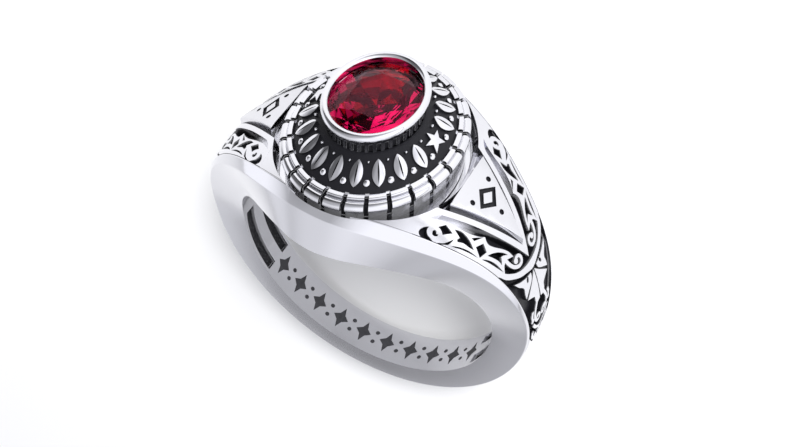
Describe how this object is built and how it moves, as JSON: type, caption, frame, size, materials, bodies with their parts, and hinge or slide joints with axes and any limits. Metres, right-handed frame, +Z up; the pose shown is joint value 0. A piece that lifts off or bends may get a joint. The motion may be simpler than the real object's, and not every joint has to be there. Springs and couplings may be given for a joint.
{
  "type": "signet ring",
  "caption": "Silver class ring: raised oval top with an oval stone in a deep bezel, notched border and leaf frieze, ornamented flared shoulders with triangular plaques, tapering band.",
  "frame": {"origin": "centre of the bounding box at the surface it lies on, with the ring on its far side", "axes": "+Z up; -Y the way the oval top faces, low over the surface; X across the two shoulders"},
  "size_m": [0.0218, 0.025, 0.0132],
  "materials": {
    "silver": "polished silver with black oxidised recesses",
    "stone": "polished red cut stone"
  },
  "bodies": {
    "root": {"band": "silver", "left_plaque": "silver", "right_plaque": "silver", "ring_top": "silver", "bezel": "silver", "stone": "stone"}
  },
  "joints": []
}
